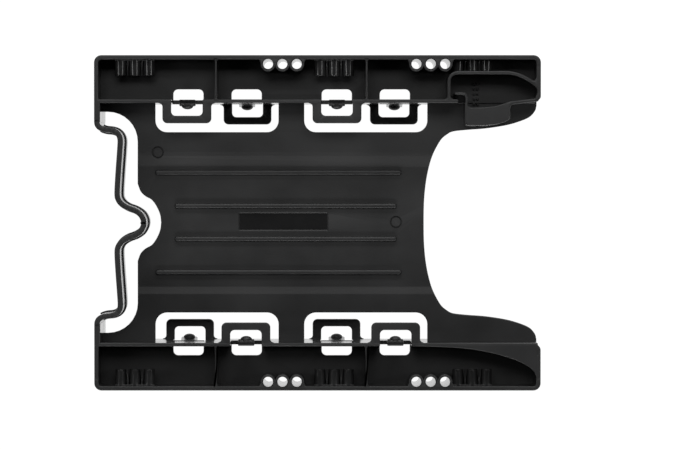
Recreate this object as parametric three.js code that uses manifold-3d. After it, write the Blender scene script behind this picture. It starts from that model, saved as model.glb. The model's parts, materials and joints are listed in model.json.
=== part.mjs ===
// Drive mounting bracket: one black plastic moulding that carries two 2.5 inch drives, one above
// and one below a middle plate, in a 3.5 inch drive bay.
//
// Frame: millimetres, +Z up, +X towards the open end where the drives slide in, +Y towards the
// left rail. The origin is the centre of the bracket's footprint. The bracket is the same after a
// half turn about its long middle axis, so every piece of the right rail is a piece of the left
// rail turned over, and what is upper on one rail is lower on the other.

import * as THREE from "three";
import * as BufferGeometryUtils from "three/addons/utils/BufferGeometryUtils.js";
import Module from "manifold-3d";

// ---- Driving dimensions ----

const LENGTH = 133.8;
const WIDTH = 100.5;
const HEIGHT = 26.1;
const MIDDLE = HEIGHT / 2;

const OUTER_WALL = 1.3;
const END_WALL = 1.35;
const CORNER_RADIUS = 2.2;
const CORNER_RETURN = 3.4;
const INNER_WALL = { near: 35.8, far: 37.0 };
const PLATE_THICKNESS = 1.6;
const PLATE_TOP = MIDDLE + PLATE_THICKNESS / 2;
const PLATE_BOTTOM = MIDDLE - PLATE_THICKNESS / 2;
const FLEX_GAP = 0.3;

// Drive retaining tabs and the sprung fingers beside them, by station along the rail.
const UPPER_STATIONS = { rear: -39.1, front: 5.85 };
const LOWER_STATIONS = { rear: -21.45, front: 23.45 };
const TAB = { width: 14.65, reach: 29.85, window: 9.4, windowReach: 32.1, thickness: 1.5 };
const TAB_RADIUS = { outer: 1.5, inner: 1.3 };
const FINGER = { width: 4.9, height: 8.15, tipNear: 35.05, tipSlope: 0.9, tipBack: 0.55 };
const FINGER_DOME = { height: 6.2, radius: 1.8, reach: 34.1, base: 35.2 };

// Channel between the two walls of a rail.
const RIB = { stations: [-30.4, 14.75], thickness: 0.85 };
const FLOOR_WINDOW = { width: 9.1, far: 40.3, radius: 1.4 };

// Screw holes of a 3.5 inch drive: three at each place, for small shifts of the bracket.
const SCREW_PITCH = 4.3;
const BASE_SCREWS = { rear: -10.5, front: 33.95 };
const BASE_BOSS = { y: 47.625, outer: 4.6, hole: 3.0, padHalf: 6.9, padNear: 45.0 };
const SIDE_SCREWS = { rear: -55.0, middle: 5.0, front: 46.6 };
const SIDE_BOSS = { depth: 6.35, outer: 3.3, hole: 2.6, near: 44.1, pad: 0.6, padHalf: 5.95 };

// Latch: lever, the pocket that it springs back into, and the web that closes its other side.
const LATCH_BOTTOM = PLATE_TOP + 0.4;
const LATCH_WALL = 1.0;
const POCKET = { x: 39.4, y: 45.0, radius: 2.6, straightEnd: 57.4 };
const POCKET_NOSE = [[59.9, 44.45], [62.2, 43.45], [64.0, 42.4], [65.9, 40.95]];
const INNER_WALL_FREE_END = 42.2;
const GUSSET_THICKNESS = 1.5;

// Rear spring: a full-height band that presses the drives against the latches.
const SPRING_END = 30.2;
const SPRING_THICKNESS = 1.65;
const SPRING_RIB = { depth: 0.45, halfLength: 25 };

// Beads and label panel of the plate.
const BEAD = { width: 1.5, height: 0.5 };
const BEADS = [
  { y: 15.1, from: -49.2, to: 25.5 },
  { y: 5.0, from: -43.3, to: 24.1 },
];
const LABEL_PANEL = { x: -10.3, length: 27.2, width: 5.3, depth: 0.3 };

const CURVE_STEPS = 4;
const ROUND_STEPS = 12;
const BLACK_PLASTIC = 0x27282a;

// ---- Places worked out from the driving dimensions ----

const END_X = LENGTH / 2;
const SIDE_Y = WIDTH / 2;
const FRONT_INSIDE = END_X - END_WALL;
const REAR_INSIDE = -END_X + OUTER_WALL;
const WALL_INSIDE = SIDE_Y - OUTER_WALL;
const RETURN_Y = SIDE_Y - CORNER_RETURN;

// ---- Solids ----

const wasm = await Module();
wasm.setup();

/** A manifold solid of a closed three.js geometry. */
function toSolid(geometry) {
  const bare = geometry.index ? geometry.toNonIndexed() : geometry.clone();
  bare.deleteAttribute("normal");
  bare.deleteAttribute("uv");
  const merged = BufferGeometryUtils.mergeVertices(bare, 1e-4);
  return new wasm.Manifold(
    new wasm.Mesh({
      numProp: 3,
      vertProperties: new Float32Array(merged.attributes.position.array),
      triVerts: new Uint32Array(merged.index.array),
    }),
  );
}

/** A three.js geometry of a manifold solid. */
function toGeometry(solid) {
  const mesh = solid.getMesh();
  const geometry = new THREE.BufferGeometry();
  geometry.setAttribute("position", new THREE.BufferAttribute(mesh.vertProperties, 3));
  geometry.setIndex(new THREE.BufferAttribute(mesh.triVerts, 1));
  const flat = geometry.toNonIndexed();
  flat.computeVertexNormals();
  return flat;
}

/** All the given geometries joined into one solid, less all of those to cut. */
function join(geometries, cuts = []) {
  let solid = toSolid(geometries[0]);
  for (const geometry of geometries.slice(1)) {
    solid = solid.add(toSolid(geometry));
  }
  for (const geometry of cuts) {
    solid = solid.subtract(toSolid(geometry));
  }
  return toGeometry(solid);
}

/** A plan outline extruded from one height to another. */
function slab(shape, low, high) {
  const settings = { depth: high - low, bevelEnabled: false, curveSegments: CURVE_STEPS };
  return new THREE.ExtrudeGeometry(shape, settings).translate(0, 0, low);
}

/** A box given by its lowest and highest corners. */
function block([x0, y0, z0], [x1, y1, z1]) {
  const box = new THREE.BoxGeometry(x1 - x0, y1 - y0, z1 - z0);
  return box.translate((x0 + x1) / 2, (y0 + y1) / 2, (z0 + z1) / 2);
}

/** An upright cylinder. */
function post(x, y, radius, low, high) {
  const cylinder = new THREE.CylinderGeometry(radius, radius, high - low, ROUND_STEPS);
  return cylinder.rotateX(Math.PI / 2).translate(x, y, (low + high) / 2);
}

/** A cylinder that lies across the rail. */
function crossTube(x, z, radius, near, far) {
  const cylinder = new THREE.CylinderGeometry(radius, radius, far - near, ROUND_STEPS);
  return cylinder.translate(x, (near + far) / 2, z);
}

/** A closed outline through straight corners. */
function polygon(points) {
  return new THREE.Shape(points.map(([x, y]) => new THREE.Vector2(x, y)));
}

/** Carries on an outline with a smooth curve through the points. */
function curveThrough(shape, points) {
  shape.splineThru(points.map(([x, y]) => new THREE.Vector2(x, y)));
}

/** A strip of even width along a line of points. Its ends are square to the first and last steps. */
function strip(points, width) {
  const left = [];
  const right = [];
  points.forEach((point, i) => {
    const before = points[Math.max(i - 1, 0)];
    const after = points[Math.min(i + 1, points.length - 1)];
    const along = after.clone().sub(before).normalize();
    const across = new THREE.Vector2(-along.y, along.x).multiplyScalar(width / 2);
    left.push(point.clone().add(across));
    right.push(point.clone().sub(across));
  });
  return new THREE.Shape([...right, ...left.reverse()]);
}

// ---- Pieces of the left rail ----

function outerWall() {
  const outline = new THREE.Shape();
  outline.moveTo(-END_X, RETURN_Y);
  outline.lineTo(REAR_INSIDE, RETURN_Y);
  outline.lineTo(REAR_INSIDE, WALL_INSIDE);
  outline.lineTo(FRONT_INSIDE, WALL_INSIDE);
  outline.lineTo(FRONT_INSIDE, RETURN_Y);
  outline.lineTo(END_X, RETURN_Y);
  outline.absarc(END_X - CORNER_RADIUS, SIDE_Y - CORNER_RADIUS, CORNER_RADIUS, 0, Math.PI / 2);
  outline.absarc(-END_X + CORNER_RADIUS, SIDE_Y - CORNER_RADIUS, CORNER_RADIUS, Math.PI / 2, Math.PI);
  const cuts = [];
  for (const station of Object.values(SIDE_SCREWS)) {
    for (const shift of [-SCREW_PITCH, 0, SCREW_PITCH]) {
      for (const z of [SIDE_BOSS.depth, HEIGHT - SIDE_BOSS.depth]) {
        cuts.push(crossTube(station + shift, z, SIDE_BOSS.hole / 2, WALL_INSIDE - 1, SIDE_Y + 1));
      }
    }
  }
  for (const station of Object.values(BASE_SCREWS)) {
    for (const shift of [-SCREW_PITCH, 0, SCREW_PITCH]) {
      cuts.push(post(station + shift, BASE_BOSS.y, BASE_BOSS.hole / 2, -1, HEIGHT + 1));
    }
  }
  return join([slab(outline, 0, HEIGHT)], cuts);
}

/** The bay-side wall: notched above and below at the tabs, and cut short above for the latch. */
function innerWall() {
  const half = TAB.window / 2;
  const points = [[REAR_INSIDE, 0]];
  for (const x of [LOWER_STATIONS.rear, LOWER_STATIONS.front]) {
    points.push([x - half, 0], [x - half, PLATE_BOTTOM], [x + half, PLATE_BOTTOM], [x + half, 0]);
  }
  points.push([FRONT_INSIDE, 0], [FRONT_INSIDE, PLATE_TOP]);
  points.push([INNER_WALL_FREE_END, PLATE_TOP], [INNER_WALL_FREE_END, HEIGHT]);
  for (const x of [UPPER_STATIONS.front, UPPER_STATIONS.rear]) {
    points.push([x + half, HEIGHT], [x + half, PLATE_TOP], [x - half, PLATE_TOP], [x - half, HEIGHT]);
  }
  points.push([REAR_INSIDE, HEIGHT]);
  const wall = slab(polygon(points), 0, INNER_WALL.far - INNER_WALL.near);
  return wall.rotateX(Math.PI / 2).translate(0, INNER_WALL.far, 0);
}

/** One stretch of the channel's middle floor, with its windows and the seats of its bosses. */
function channelFloor(from, to) {
  const { width, far, radius } = FLOOR_WINDOW;
  const stations = [...Object.values(UPPER_STATIONS), ...Object.values(LOWER_STATIONS)];
  const windows = stations.filter((x) => x > from && x < to).sort((a, b) => a - b);
  const seats = Object.values(BASE_SCREWS).filter((x) => x > from && x < to);
  const outline = new THREE.Shape();
  outline.moveTo(from, INNER_WALL.far);
  for (const x of windows) {
    outline.lineTo(x - width / 2, INNER_WALL.far);
    outline.lineTo(x - width / 2, far - radius);
    outline.absarc(x - width / 2 + radius, far - radius, radius, Math.PI, Math.PI / 2, true);
    outline.absarc(x + width / 2 - radius, far - radius, radius, Math.PI / 2, 0, true);
    outline.lineTo(x + width / 2, INNER_WALL.far);
  }
  outline.lineTo(to, INNER_WALL.far);
  outline.lineTo(to, WALL_INSIDE);
  for (const x of seats) {
    outline.lineTo(x + BASE_BOSS.padHalf, WALL_INSIDE);
    outline.lineTo(x + BASE_BOSS.padHalf, BASE_BOSS.padNear);
    outline.lineTo(x - BASE_BOSS.padHalf, BASE_BOSS.padNear);
    outline.lineTo(x - BASE_BOSS.padHalf, WALL_INSIDE);
  }
  outline.lineTo(from, WALL_INSIDE);
  return slab(outline, PLATE_BOTTOM, PLATE_TOP);
}

function channelRib(x) {
  const half = RIB.thickness / 2;
  return block([x - half, INNER_WALL.far, 0], [x + half, WALL_INSIDE, HEIGHT]);
}

/** The end wall at the open end, rounded where it turns into the latch's arm. */
function frontEndWall() {
  const outline = new THREE.Shape();
  outline.moveTo(FRONT_INSIDE, INNER_WALL.far - 0.5);
  outline.quadraticCurveTo(END_X, INNER_WALL.far - 0.3, END_X, INNER_WALL.far + 1.2);
  outline.lineTo(END_X, RETURN_Y);
  outline.lineTo(FRONT_INSIDE, RETURN_Y);
  return slab(outline, 0, HEIGHT);
}

/** The end wall at the spring end, thicker inside the bay where the spring is rooted. */
function rearEndWall() {
  const bayInside = REAR_INSIDE + 0.5;
  const points = [
    [-END_X, SPRING_END + FLEX_GAP],
    [bayInside, SPRING_END + FLEX_GAP],
    [bayInside, INNER_WALL.near],
    [REAR_INSIDE, INNER_WALL.near],
    [REAR_INSIDE, RETURN_Y],
    [-END_X, RETURN_Y],
  ];
  return slab(polygon(points), 0, HEIGHT);
}

/** Three full-height screw bosses side by side, on the pad that carries them. */
function baseScrewBosses(station) {
  const { y, outer, hole, padHalf, padNear } = BASE_BOSS;
  const bosses = [block([station - padHalf, padNear, PLATE_BOTTOM], [station + padHalf, WALL_INSIDE, PLATE_TOP])];
  const cuts = [block([station - 10, WALL_INSIDE, -1], [station + 10, WALL_INSIDE + 4, HEIGHT + 1])];
  for (const shift of [-SCREW_PITCH, 0, SCREW_PITCH]) {
    bosses.push(post(station + shift, y, outer / 2, 0, HEIGHT));
    cuts.push(post(station + shift, y, hole / 2, -1, HEIGHT + 1));
  }
  return join(bosses, cuts);
}

/** Three side screw tubes, the thin ribs between them, and the pad on the outer wall. */
function sideScrewTubes(station, z, near) {
  const { outer, hole, pad, padHalf } = SIDE_BOSS;
  const half = outer / 2;
  const rib = 0.25;
  const tubes = [
    block([station - padHalf, WALL_INSIDE - pad, z - half], [station + padHalf, WALL_INSIDE, z + half]),
  ];
  const cuts = [];
  for (const shift of [-SCREW_PITCH, 0, SCREW_PITCH]) {
    tubes.push(crossTube(station + shift, z, half, near, WALL_INSIDE));
    cuts.push(crossTube(station + shift, z, hole / 2, near - 1, WALL_INSIDE + 1));
  }
  for (const shift of [-SCREW_PITCH / 2, SCREW_PITCH / 2]) {
    const x = station + shift;
    tubes.push(block([x - rib, near, z - half], [x + rib, WALL_INSIDE, z + 0.8]));
  }
  return join(tubes, cuts);
}

/** A U-shaped tab that holds a drive down, its open side on the notch in the inner wall. */
function driveTab(station, low) {
  const { width, reach, window, windowReach, thickness } = TAB;
  const { outer, inner } = TAB_RADIUS;
  const half = width / 2;
  const gap = window / 2;
  const wall = INNER_WALL.near;
  const outline = new THREE.Shape();
  outline.moveTo(station - half, wall);
  outline.absarc(station - half + outer, reach + outer, outer, Math.PI, 1.5 * Math.PI);
  outline.absarc(station + half - outer, reach + outer, outer, 1.5 * Math.PI, 2 * Math.PI);
  outline.lineTo(station + half, wall);
  outline.lineTo(station + gap, wall);
  outline.absarc(station + gap - inner, windowReach + inner, inner, 0, -Math.PI / 2, true);
  outline.absarc(station - gap + inner, windowReach + inner, inner, 1.5 * Math.PI, Math.PI, true);
  outline.lineTo(station - gap, wall);
  return slab(outline, low, low + thickness);
}

/** A sprung finger in the tab's notch: a blade that thickens towards its tip, with a dome to grip a drive. */
function gripFinger(station, upward) {
  const { width, height, tipNear, tipSlope, tipBack } = FINGER;
  const sign = upward ? 1 : -1;
  const root = upward ? PLATE_TOP + FLEX_GAP : PLATE_BOTTOM - FLEX_GAP;
  const tip = root + sign * height;
  const profile = [
    [INNER_WALL.near, root],
    [INNER_WALL.far, root],
    [INNER_WALL.far, tip],
    [INNER_WALL.far - tipBack, tip],
    [tipNear + 0.2, tip - sign * tipSlope],
    [tipNear, tip - sign * (tipSlope + 0.8)],
    [INNER_WALL.near, root + sign],
  ];
  const blade = slab(polygon(profile), -width / 2, width / 2).rotateX(Math.PI / 2).rotateZ(Math.PI / 2);
  const dome = new THREE.SphereGeometry(1, ROUND_STEPS, ROUND_STEPS / 2);
  dome.scale(FINGER_DOME.radius, FINGER_DOME.base - FINGER_DOME.reach, FINGER_DOME.radius * 0.75);
  dome.translate(station, FINGER_DOME.base, root + sign * FINGER_DOME.height);
  return join([blade.translate(station, 0, 0), dome]);
}

/** The latch lever: flexing arm, the block that stops a drive, and the hook behind the inner wall. */
function latchLever() {
  const root = FRONT_INSIDE - FLEX_GAP;
  const arm = { rootLow: 36.35, rootHigh: 37.35, tipLow: 35.62, tipHigh: 36.6, tip: 59.5 };
  const block = { rear: 44.15, near: 29.15, front: 57.7 };
  const hook = { side: 45.0, far: 39.1, tip: 41.1, thickness: 0.75 };
  const outline = new THREE.Shape();
  outline.moveTo(root, arm.rootLow);
  outline.lineTo(root, arm.rootHigh);
  outline.lineTo(arm.tip, arm.tipHigh);
  curveThrough(outline, [[58.0, 36.45], [56.2, 35.9], [53.1, 34.95], [48.9, 34.6], [45.7, 34.55]]);
  outline.lineTo(hook.side, 35.1);
  outline.lineTo(hook.side, hook.far - 1.45);
  outline.quadraticCurveTo(hook.side, hook.far, hook.side - 1.45, hook.far);
  outline.lineTo(hook.tip, hook.far);
  outline.lineTo(hook.tip, hook.far - hook.thickness);
  outline.lineTo(block.rear - 0.85, hook.far - hook.thickness);
  outline.quadraticCurveTo(block.rear, hook.far - hook.thickness, block.rear, hook.far - 1.8);
  outline.lineTo(block.rear, block.near + 1.1);
  outline.quadraticCurveTo(block.rear, block.near, block.rear + 1.2, block.near);
  outline.lineTo(50.2, block.near);
  curveThrough(outline, [[53.9, 29.6], [56.2, 30.3], [57.4, 31.0]]);
  outline.lineTo(block.front, 31.5);
  outline.lineTo(block.front, 34.4);
  outline.quadraticCurveTo(block.front, 35.5, 58.6, 35.55);
  outline.lineTo(arm.tip, arm.tipLow);
  return slab(outline, LATCH_BOTTOM, HEIGHT);
}

/** The curved wall of the pocket that the latch lever springs back into. */
function latchPocketWall() {
  const { x, y, radius, straightEnd } = POCKET;
  const line = [new THREE.Vector2(x, INNER_WALL.far), new THREE.Vector2(x, y - radius)];
  const corner = new THREE.EllipseCurve(x + radius, y - radius, radius, radius, Math.PI, Math.PI / 2, true);
  line.push(...corner.getPoints(CURVE_STEPS).slice(1));
  line.push(new THREE.Vector2(straightEnd, y));
  const nose = new THREE.SplineCurve(
    [[straightEnd, y], ...POCKET_NOSE].map((point) => new THREE.Vector2(...point)),
  );
  line.push(...nose.getPoints(2 * CURVE_STEPS).slice(1));
  const wall = slab(strip(line, LATCH_WALL), PLATE_TOP, HEIGHT);
  return join([wall], [block([FRONT_INSIDE, 30, 0], [END_X + 5, 50, HEIGHT + 1])]);
}

/** The web flush with the rim that ties the inner wall to the end wall, on the face without a latch. */
function cornerGusset() {
  const freeEdge = [[39.1, 37.2], [48.2, 38.1], [57.4, 40.35], [63.4, 43.0], [FRONT_INSIDE, 45.4]];
  const outline = new THREE.Shape();
  outline.moveTo(29.8, INNER_WALL.far);
  curveThrough(outline, freeEdge);
  outline.lineTo(FRONT_INSIDE, INNER_WALL.far);
  return slab(outline, 0, GUSSET_THICKNESS);
}

// ---- Pieces in the middle ----

/**
 * The plate both drives rest on, with its beads and its blank label panel. Its edge is walked from
 * the cut-out at the open end, along the left slots, round the rear spring's gap and back.
 */
function centrePlate() {
  const wall = INNER_WALL.near;
  const slot = { edge: 27.35, radius: 3.5 };
  const slots = [[-49.1, -11.8], [-4.0, 33.3]];
  const tip = [66.4, 35.3];
  const mouth = [
    [65.9, 33.7], [64.1, 31.8], [60.4, 30.3], [56.5, 29.3], [50.8, 28.45], [45.5, 28.05], [41.1, 27.55],
    [39.2, 26.6], [37.4, 25.0], [35.4, 21.5], [34.1, 18.0], [33.0, 13.0], [32.35, 7.0], [32.2, 0],
  ];
  const rearGap = [[-52.1, 7.9], [-50.2, 6.8], [-48.7, 4.7], [-47.7, 2.3], [-47.4, 0]];
  const rearArc = { x: -63.5, y: 24.5, radius: 9.0 };
  const mirror = ([x, y]) => [x, -y];
  const outline = new THREE.Shape();
  outline.moveTo(FRONT_INSIDE, -wall);
  outline.lineTo(tip[0], -wall);
  outline.lineTo(...mirror(tip));
  curveThrough(outline, [...mouth.map(mirror), ...mouth.slice(0, -1).reverse(), tip]);
  outline.lineTo(tip[0], wall);
  outline.lineTo(FRONT_INSIDE, wall);
  for (const [from, to] of slots.slice().reverse()) {
    outline.lineTo(to, wall);
    outline.absarc(to - slot.radius, slot.edge + slot.radius, slot.radius, 0, -Math.PI / 2, true);
    outline.absarc(from + slot.radius, slot.edge + slot.radius, slot.radius, -Math.PI / 2, -Math.PI, true);
    outline.lineTo(from, wall);
  }
  const edge = REAR_INSIDE + 0.5;
  outline.lineTo(edge, wall);
  outline.lineTo(edge, rearArc.y + rearArc.radius);
  outline.absarc(rearArc.x, rearArc.y, rearArc.radius, Math.PI / 2, 0, true);
  outline.lineTo(rearArc.x + rearArc.radius, 11.6);
  curveThrough(outline, [[-53.6, 9.4], ...rearGap, ...rearGap.slice(0, -1).reverse().map(mirror), [-53.6, -9.4]]);
  outline.lineTo(rearArc.x + rearArc.radius, -11.6);
  outline.absarc(rearArc.x, -rearArc.y, rearArc.radius, 0, -Math.PI / 2, true);
  outline.lineTo(edge, -rearArc.y - rearArc.radius);
  outline.lineTo(edge, -wall);
  for (const [from, to] of slots) {
    outline.lineTo(from, -wall);
    outline.absarc(from + slot.radius, -slot.edge - slot.radius, slot.radius, Math.PI, Math.PI / 2, true);
    outline.absarc(to - slot.radius, -slot.edge - slot.radius, slot.radius, Math.PI / 2, 0, true);
    outline.lineTo(to, -wall);
  }
  const { x, length, width, depth } = LABEL_PANEL;
  const panel = block([x - length / 2, -width / 2, PLATE_TOP - depth], [x + length / 2, width / 2, PLATE_TOP + 1]);
  return join([slab(outline, PLATE_BOTTOM, PLATE_TOP), ...BEADS.flatMap(plateBeads)], [panel]);
}

/** A bead on each side of the middle line, standing out of both faces of the plate. */
function plateBeads({ y, from, to }) {
  const radius = BEAD.width / 2;
  return [-y, y].map((line) => {
    const outline = new THREE.Shape();
    outline.moveTo(from + radius, line - radius);
    outline.absarc(to - radius, line, radius, -Math.PI / 2, Math.PI / 2);
    outline.absarc(from + radius, line, radius, Math.PI / 2, 1.5 * Math.PI);
    return slab(outline, PLATE_BOTTOM - BEAD.height, PLATE_TOP + BEAD.height);
  });
}

/** The full-height band across the rear end, ribbed at mid-height, with the V that the drives push back. */
function rearSpring() {
  const half = [
    [-66.05, SPRING_END], [-66.05, 29.6], [-65.2, 28.6], [-63.7, 28.0], [-61.6, 27.75],
    [-60.0, 26.95], [-59.1, 25.2],
    [-59.2, 21.7], [-59.65, 15.5], [-60.0, 9.0], [-59.65, 7.0], [-58.6, 5.6], [-56.9, 4.55],
    [-54.9, 3.8], [-53.2, 2.7], [-52.3, 1.3], [-52.05, 0],
  ];
  const other = half.slice(0, -1).reverse().map(([x, y]) => [x, -y]);
  const points = [...half, ...other].map(([x, y]) => new THREE.Vector2(x, y));
  const ribbed = points.filter((point) => Math.abs(point.y) < SPRING_RIB.halfLength);
  const band = slab(strip(points, SPRING_THICKNESS), 0, HEIGHT);
  const rib = slab(strip(ribbed, SPRING_THICKNESS + 2 * SPRING_RIB.depth), PLATE_BOTTOM, PLATE_TOP);
  return join([band, rib]);
}

// ---- Assembly ----

const group = new THREE.Group();

function addPiece(name, geometry) {
  const material = new THREE.MeshStandardMaterial({ color: BLACK_PLASTIC, roughness: 0.55, metalness: 0 });
  const mesh = new THREE.Mesh(geometry, material);
  mesh.name = name;
  group.add(mesh);
}

/** Adds a rail piece, turned over for the right rail. */
function addRailPiece(side, name, geometry) {
  if (side === "right") {
    geometry.translate(0, 0, -MIDDLE).rotateX(Math.PI).translate(0, 0, MIDDLE);
  }
  addPiece(`${side}_${name}`, geometry);
}

addPiece("centre_plate", centrePlate());
addPiece("rear_spring", rearSpring());

for (const side of ["left", "right"]) {
  const upper = side === "left" ? "upper" : "lower";
  const lower = side === "left" ? "lower" : "upper";
  const half = RIB.thickness / 2;
  const [rearRib, frontRib] = RIB.stations;
  addRailPiece(side, "outer_wall", outerWall());
  addRailPiece(side, "inner_wall", innerWall());
  addRailPiece(side, "front_end_wall", frontEndWall());
  addRailPiece(side, "rear_end_wall", rearEndWall());
  addRailPiece(side, "channel_floor_rear", channelFloor(REAR_INSIDE, rearRib - half));
  addRailPiece(side, "channel_floor_middle", channelFloor(rearRib + half, frontRib - half));
  addRailPiece(side, "channel_floor_front", channelFloor(frontRib + half, FRONT_INSIDE));
  addRailPiece(side, "channel_rib_rear", channelRib(rearRib));
  addRailPiece(side, "channel_rib_front", channelRib(frontRib));
  addRailPiece(side, `${upper}_latch_lever`, latchLever());
  addRailPiece(side, `${upper}_latch_pocket_wall`, latchPocketWall());
  addRailPiece(side, `${lower}_corner_gusset`, cornerGusset());
  for (const [place, x] of Object.entries(BASE_SCREWS)) {
    addRailPiece(side, `base_screw_bosses_${place}`, baseScrewBosses(x));
  }
  for (const [place, x] of Object.entries(SIDE_SCREWS)) {
    const overPocket = place === "front" ? POCKET.y + LATCH_WALL / 2 : SIDE_BOSS.near;
    const upperTubes = sideScrewTubes(x, HEIGHT - SIDE_BOSS.depth, overPocket);
    addRailPiece(side, `${upper}_side_screw_tubes_${place}`, upperTubes);
    const lowerTubes = sideScrewTubes(x, SIDE_BOSS.depth, SIDE_BOSS.near);
    addRailPiece(side, `${lower}_side_screw_tubes_${place}`, lowerTubes);
  }
  for (const [place, x] of Object.entries(UPPER_STATIONS)) {
    addRailPiece(side, `${upper}_drive_tab_${place}`, driveTab(x, HEIGHT - TAB.thickness));
    addRailPiece(side, `${upper}_grip_finger_${place}`, gripFinger(x, true));
  }
  for (const [place, x] of Object.entries(LOWER_STATIONS)) {
    addRailPiece(side, `${lower}_drive_tab_${place}`, driveTab(x, 0));
    addRailPiece(side, `${lower}_grip_finger_${place}`, gripFinger(x, false));
  }
}

export default group;
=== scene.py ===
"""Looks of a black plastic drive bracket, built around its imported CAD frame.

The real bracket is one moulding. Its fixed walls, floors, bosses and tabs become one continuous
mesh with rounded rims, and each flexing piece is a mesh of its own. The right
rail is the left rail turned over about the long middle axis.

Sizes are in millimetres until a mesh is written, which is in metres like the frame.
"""

from __future__ import annotations

import json
import logging
import math
from dataclasses import dataclass, field
from enum import Enum
from typing import Iterable, Sequence

import bmesh
import bpy
from mathutils import Matrix, Vector


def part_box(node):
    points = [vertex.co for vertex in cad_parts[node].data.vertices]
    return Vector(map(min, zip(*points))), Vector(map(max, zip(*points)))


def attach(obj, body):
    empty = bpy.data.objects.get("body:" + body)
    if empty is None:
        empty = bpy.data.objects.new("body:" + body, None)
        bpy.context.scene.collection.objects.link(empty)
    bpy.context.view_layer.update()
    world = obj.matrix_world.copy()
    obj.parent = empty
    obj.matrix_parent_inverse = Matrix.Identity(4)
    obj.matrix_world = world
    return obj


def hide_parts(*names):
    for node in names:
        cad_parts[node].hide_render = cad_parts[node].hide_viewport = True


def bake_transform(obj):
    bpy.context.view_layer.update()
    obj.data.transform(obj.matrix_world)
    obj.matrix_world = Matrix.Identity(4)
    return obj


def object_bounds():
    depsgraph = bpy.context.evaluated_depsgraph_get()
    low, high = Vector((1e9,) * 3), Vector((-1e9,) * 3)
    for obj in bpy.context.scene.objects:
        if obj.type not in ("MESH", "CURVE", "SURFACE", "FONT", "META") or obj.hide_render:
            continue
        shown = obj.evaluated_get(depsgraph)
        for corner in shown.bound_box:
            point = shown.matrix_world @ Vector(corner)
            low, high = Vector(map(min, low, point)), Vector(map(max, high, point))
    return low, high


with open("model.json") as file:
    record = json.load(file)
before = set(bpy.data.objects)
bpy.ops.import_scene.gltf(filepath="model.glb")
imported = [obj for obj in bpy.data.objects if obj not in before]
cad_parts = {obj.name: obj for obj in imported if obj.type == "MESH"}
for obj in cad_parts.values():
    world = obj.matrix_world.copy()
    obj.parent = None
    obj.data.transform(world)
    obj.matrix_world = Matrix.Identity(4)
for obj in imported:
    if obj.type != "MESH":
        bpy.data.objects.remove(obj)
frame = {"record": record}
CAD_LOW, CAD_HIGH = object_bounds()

LOG = logging.getLogger("bracket")

MM = 0.001
ROOT = "root"
ARC_STEP = math.radians(12)
SHARP_ANGLE = math.radians(40)

Point = tuple[float, float]


# ---- Outlines, in millimetres ----


def arc(centre: Point, radius: float, start: float, end: float) -> list[Point]:
    """Points of an arc.

    Args:
        centre: Centre of the arc.
        radius: Its radius.
        start: Start angle in degrees.
        end: End angle in degrees; below start the arc runs clockwise.

    Returns:
        The points, both ends included.
    """
    turn = math.radians(end - start)
    steps = max(2, math.ceil(abs(turn) / ARC_STEP))
    angles = [math.radians(start) + turn * i / steps for i in range(steps + 1)]
    return [(centre[0] + radius * math.cos(a), centre[1] + radius * math.sin(a)) for a in angles]


def smooth(points: Sequence[Point], steps: int = 5) -> list[Point]:
    """A Catmull-Rom curve through open points.

    Args:
        points: The points that the curve passes through.
        steps: Straight pieces between two points.

    Returns:
        The points of the curve, both ends included.
    """
    knots = [Vector(p) for p in points]
    knots = [2 * knots[0] - knots[1], *knots, 2 * knots[-1] - knots[-2]]
    found: list[Point] = []
    for a, b, c, d in zip(knots, knots[1:], knots[2:], knots[3:]):
        for i in range(steps):
            t = i / steps
            spot = (
                2 * b
                + (c - a) * t
                + (2 * a - 5 * b + 4 * c - d) * t**2
                + (3 * b - a - 3 * c + d) * t**3
            ) / 2
            found.append((spot.x, spot.y))
    found.append((knots[-2].x, knots[-2].y))
    return found


def rounded(corners: Sequence[tuple[float, float, float]]) -> list[Point]:
    """A closed outline of straight sides with rounded corners.

    Args:
        corners: For each corner its two coordinates and its radius.

    Returns:
        The points of the outline.
    """
    found: list[Point] = []
    count = len(corners)
    for i, (x, y, radius) in enumerate(corners):
        here = Vector((x, y))
        before = Vector(corners[i - 1][:2]) - here
        after = Vector(corners[(i + 1) % count][:2]) - here
        if radius <= 0:
            found.append((x, y))
            continue
        half = before.angle(after) / 2
        reach = radius / math.tan(half)
        middle = here + (before.normalized() + after.normalized()).normalized() * radius / math.sin(half)
        first = here + before.normalized() * reach - middle
        last = here + after.normalized() * reach - middle
        turn = first.angle_signed(last) * -1
        steps = max(2, math.ceil(abs(turn) / ARC_STEP))
        for step in range(steps + 1):
            spot = middle + Matrix.Rotation(turn * step / steps, 2) @ first
            found.append((spot.x, spot.y))
    return found


def oblong(low: Point, high: Point) -> list[Point]:
    """The outline of an oblong between two opposite corners."""
    return [low, (high[0], low[1]), high, (low[0], high[1])]


def ribbon(line: Sequence[Point], width: float) -> list[Point]:
    """The closed outline of a strip of even width along a line of points.

    Args:
        line: The points along its middle.
        width: The strip's width.

    Returns:
        The closed outline.
    """
    left: list[Point] = []
    right: list[Point] = []
    for i, here in enumerate(line):
        before = Vector(line[max(i - 1, 0)])
        after = Vector(line[min(i + 1, len(line) - 1)])
        along = (after - before).normalized()
        across = Vector((-along.y, along.x)) * width / 2
        left.append((here[0] + across.x, here[1] + across.y))
        right.append((here[0] - across.x, here[1] - across.y))
    return right + left[::-1]


def mirrored(points: Iterable[Point]) -> list[Point]:
    """The points with their second coordinate turned round."""
    return [(x, -y) for x, y in points]


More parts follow.
